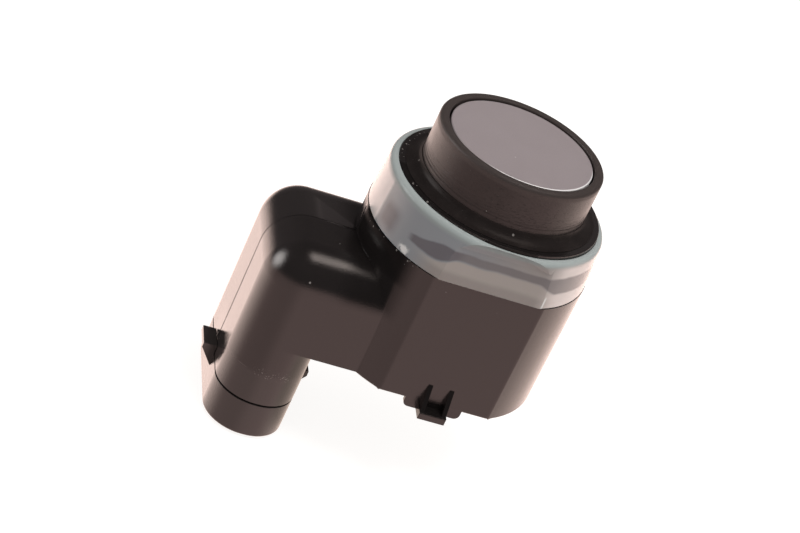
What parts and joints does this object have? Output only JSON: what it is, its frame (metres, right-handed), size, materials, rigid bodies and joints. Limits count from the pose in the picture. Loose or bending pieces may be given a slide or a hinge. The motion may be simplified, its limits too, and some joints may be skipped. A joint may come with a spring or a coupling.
{
  "type": "parking sensor",
  "caption": "Ultrasonic parking sensor: round black body with a pale seal ring, a rubber-collared diaphragm and a side arm with an oval plug socket.",
  "frame": {"origin": "centre of the diaphragm's front face", "axes": "+Z along the sensing axis, out of the diaphragm; the arm and its socket point to -X; the object is the same on its -Y and +Y sides"},
  "size_m": [0.0345, 0.024, 0.0374],
  "materials": {
    "black_plastic": "satin",
    "black_rubber": "matte",
    "pale_silicone": "satin, translucent",
    "diaphragm": "fine matt coating",
    "grey_plastic": "satin",
    "ceramic": "matt",
    "felt": "matt",
    "filler": "matt",
    "board": "satin",
    "ferrite": "satin",
    "copper": "enamelled wire",
    "chip_black": "matt",
    "can_metal": "bare",
    "tinned_brass": "tin plated"
  },
  "bodies": {
    "root": {"housing": "black_plastic", "socket_collar": "black_plastic", "seal_ring": "pale_silicone", "decoupling_ring": "black_rubber", "diaphragm_cup": "diaphragm", "piezo_disc": "ceramic", "damping_felt": "felt", "cup_filler": "filler", "piezo_lead_1": "tinned_brass", "piezo_lead_2": "tinned_brass", "ring_retainer": "grey_plastic", "circuit_board": "board", "transformer_core": "ferrite", "transformer_winding": "copper", "signal_chip": "chip_black", "storage_capacitor": "can_metal", "ceramic_capacitor_1": "ceramic", "ceramic_capacitor_2": "ceramic", "resistor_1": "chip_black", "resistor_2": "chip_black", "contact_pin_1": "tinned_brass", "contact_pin_2": "tinned_brass", "contact_pin_3": "tinned_brass", "contact_carrier": "grey_plastic", "rear_cover": "black_plastic"}
  },
  "joints": []
}
